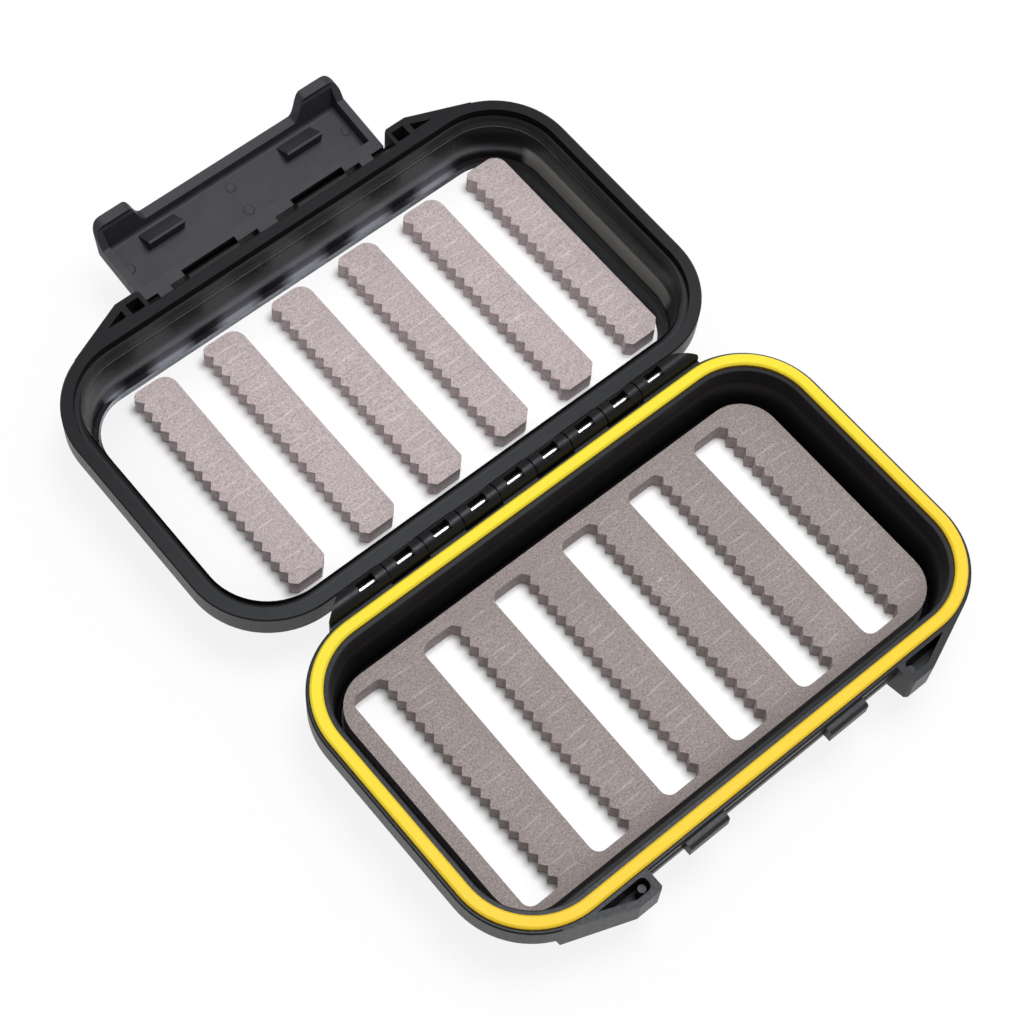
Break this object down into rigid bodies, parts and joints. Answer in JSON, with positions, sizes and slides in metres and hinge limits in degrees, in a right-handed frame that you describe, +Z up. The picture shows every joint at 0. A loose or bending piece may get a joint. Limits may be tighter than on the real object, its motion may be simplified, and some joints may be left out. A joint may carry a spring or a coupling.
{
  "type": "fly box",
  "caption": "Black waterproof fly box, open flat: gasketed tray with a slotted foam sheet, lid with serrated foam strips, and a hinged latch.",
  "frame": {"origin": "centre of the tray's underside", "axes": "+X along the hinge, +Y from the tray to the opened lid, +Z up out of the open halves"},
  "size_m": [0.12, 0.1707, 0.0213],
  "materials": {
    "shell_black": "satin moulded plastic",
    "latch_grey": "matt moulded plastic",
    "gasket_yellow": "smooth soft rubber",
    "pin_steel": "ground",
    "foam_grey": "closed-cell foam",
    "liner_white": "thin smooth sheet"
  },
  "bodies": {
    "tray": {"tray": "shell_black", "gasket": "gasket_yellow", "hinge_pin": "pin_steel", "tray_liner": "liner_white", "tray_foam": "foam_grey"},
    "lid": {"lid": "shell_black", "lid_liner": "liner_white", "lid_foam_strip_1": "foam_grey", "lid_foam_strip_2": "foam_grey", "lid_foam_strip_3": "foam_grey", "lid_foam_strip_4": "foam_grey", "lid_foam_strip_5": "foam_grey", "lid_foam_strip_6": "foam_grey"},
    "latch": {"latch": "latch_grey"}
  },
  "joints": [
    {"name": "lid_hinge", "type": "hinge", "parent": "tray", "child": "lid", "pos_m": [0, 0.03775, 0.017], "axis": [1, 0, 0], "range_deg": [0, 179.15]},
    {"name": "latch_hinge", "type": "hinge", "parent": "lid", "child": "latch", "pos_m": [0, 0.11332, 0.01302], "axis": [1, 0, 0], "range_deg": [-18, 82.05]}
  ]
}
